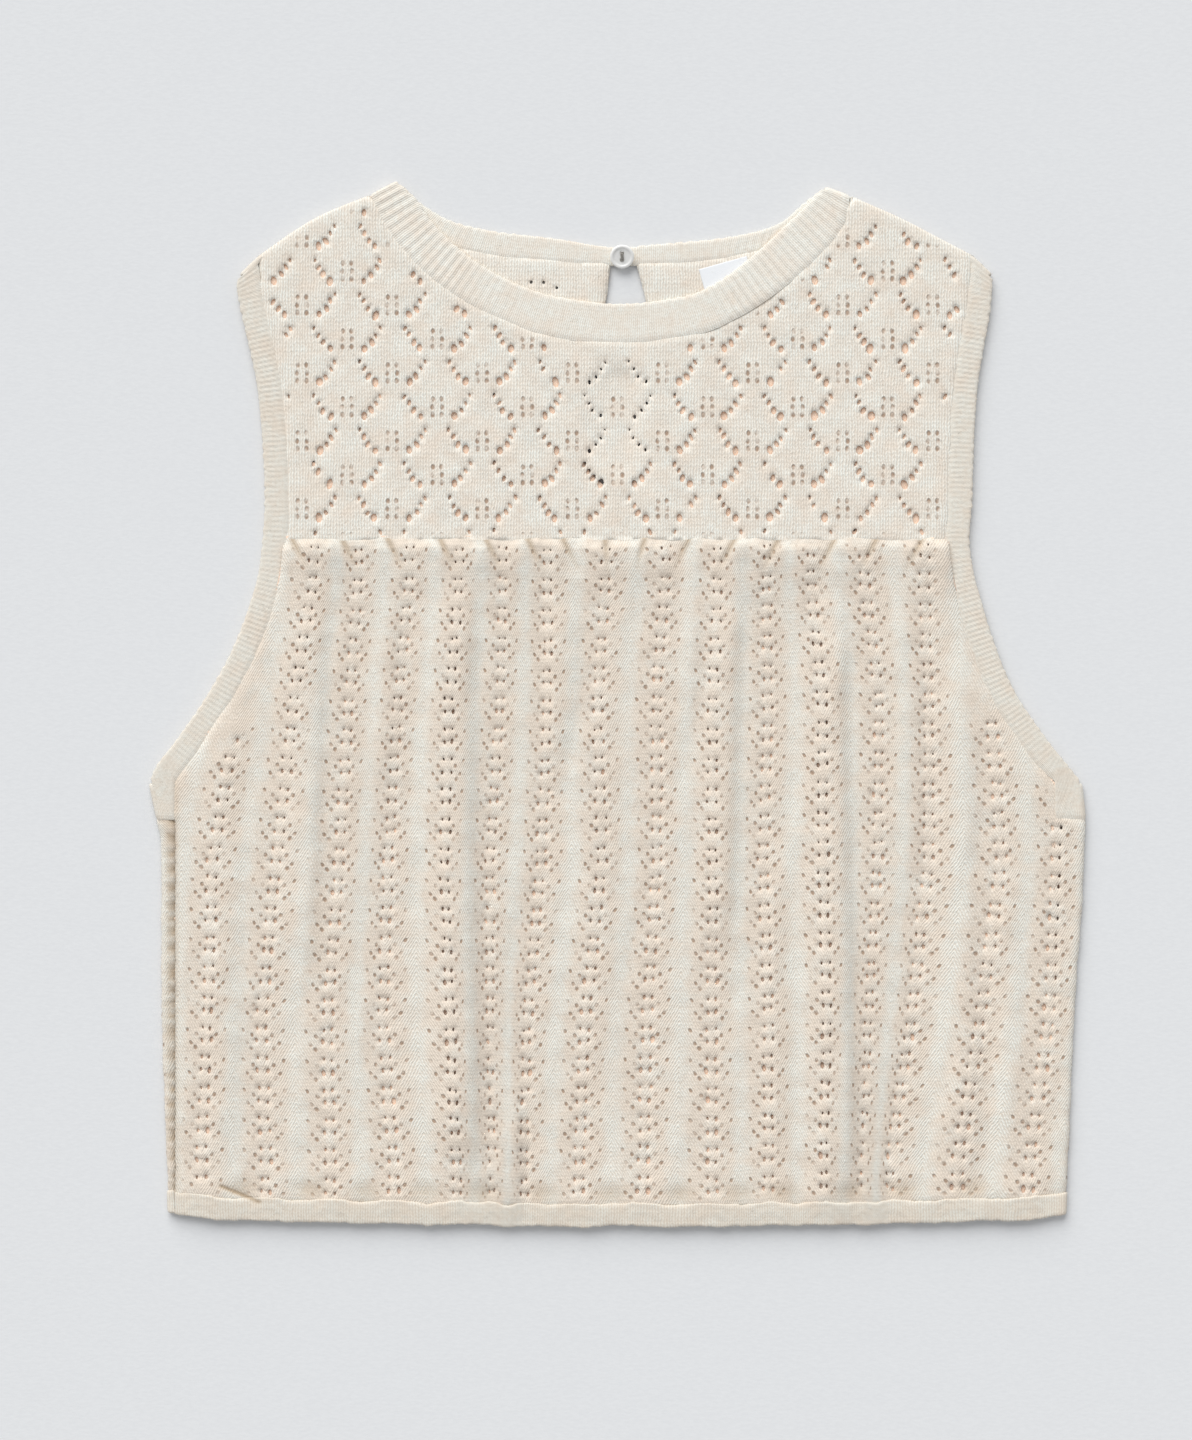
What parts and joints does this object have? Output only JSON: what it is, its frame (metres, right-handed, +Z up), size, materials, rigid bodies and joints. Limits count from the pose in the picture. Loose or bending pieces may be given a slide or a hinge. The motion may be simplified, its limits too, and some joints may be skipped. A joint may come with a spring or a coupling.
{
  "type": "sleeveless knit top",
  "caption": "Sleeveless lace-knit top laid flat, with ribbed neck and armhole bands, a gathered body and a buttoned keyhole at the back.",
  "frame": {"origin": "on the surface the top lies on, below the middle of its bounding box", "axes": "+X to the right as the front is seen, +Y from the hem to the neck, +Z up from the surface"},
  "size_m": [0.4504, 0.502, 0.0076],
  "materials": {
    "lace_knit": "soft matt ecru knitting",
    "rib_knit": "soft matt ecru ribbing",
    "button": "pale shell gloss",
    "label": "white woven ribbon"
  },
  "bodies": {
    "root": {"front_yoke": "lace_knit", "back_yoke": "lace_knit", "front_body": "lace_knit", "back_body": "lace_knit", "hem_front": "rib_knit", "hem_back": "rib_knit", "neckband": "rib_knit", "armhole_band_left": "rib_knit", "armhole_band_right": "rib_knit", "button": "button", "neck_label": "label"}
  },
  "joints": []
}
